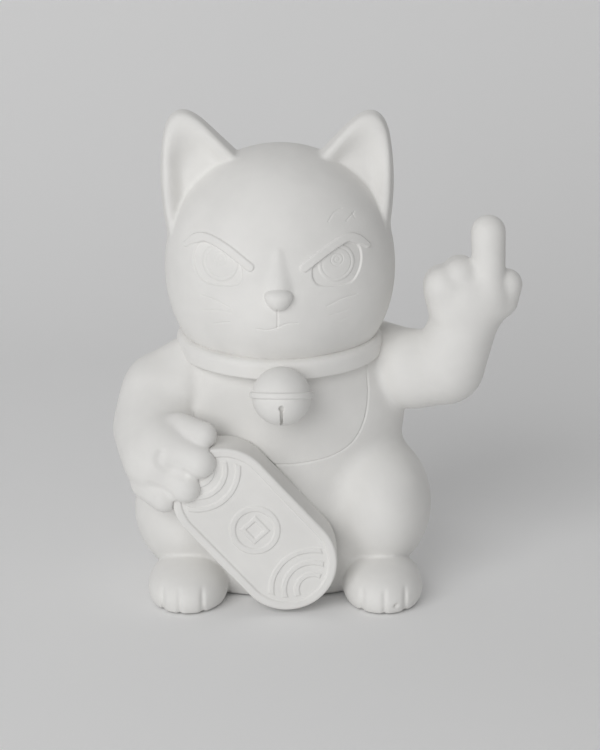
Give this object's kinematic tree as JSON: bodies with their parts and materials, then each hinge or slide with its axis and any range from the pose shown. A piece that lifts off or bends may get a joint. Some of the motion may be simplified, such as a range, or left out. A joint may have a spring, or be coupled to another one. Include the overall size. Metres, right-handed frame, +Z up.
{
  "type": "cat figurine money box",
  "caption": "Seated beckoning cat figurine in matte white, a hollow money box with a raised paw, a belled collar, an oblong tablet and a bung in its base.",
  "frame": {"origin": "on the surface that the pads stand on, under the middle of the whole figure's bounding box", "axes": "+Z up, the cat faces -Y, +X is on the side of its raised paw"},
  "size_m": [0.2073, 0.1338, 0.2496],
  "materials": {
    "cast_white": "matt sprayed white over cast resin",
    "pad_rubber": "translucent soft pad",
    "stopper_rubber": "matt moulded bung",
    "pin_steel": "plain dowel"
  },
  "bodies": {
    "cat": {"body_shell": "cast_white", "head_shell": "cast_white", "collar_band": "cast_white", "bell": "cast_white", "bell_pin": "pin_steel", "plaque": "cast_white", "plaque_pin_upper": "pin_steel", "plaque_pin_lower": "pin_steel", "raised_arm": "cast_white", "raised_arm_pin_upper": "pin_steel", "raised_arm_pin_lower": "pin_steel", "holding_arm": "cast_white", "holding_arm_pin_upper": "pin_steel", "holding_arm_pin_lower": "pin_steel", "base_plate": "cast_white", "foot_pad_1": "pad_rubber", "foot_pad_2": "pad_rubber", "foot_pad_3": "pad_rubber", "foot_pad_4": "pad_rubber"},
    "stopper": {"base_stopper": "stopper_rubber"}
  },
  "joints": [
    {"name": "stopper_pull", "type": "slide", "parent": "cat", "child": "stopper", "axis": [0, 0, -1], "range_m": [0, 0.012]}
  ]
}
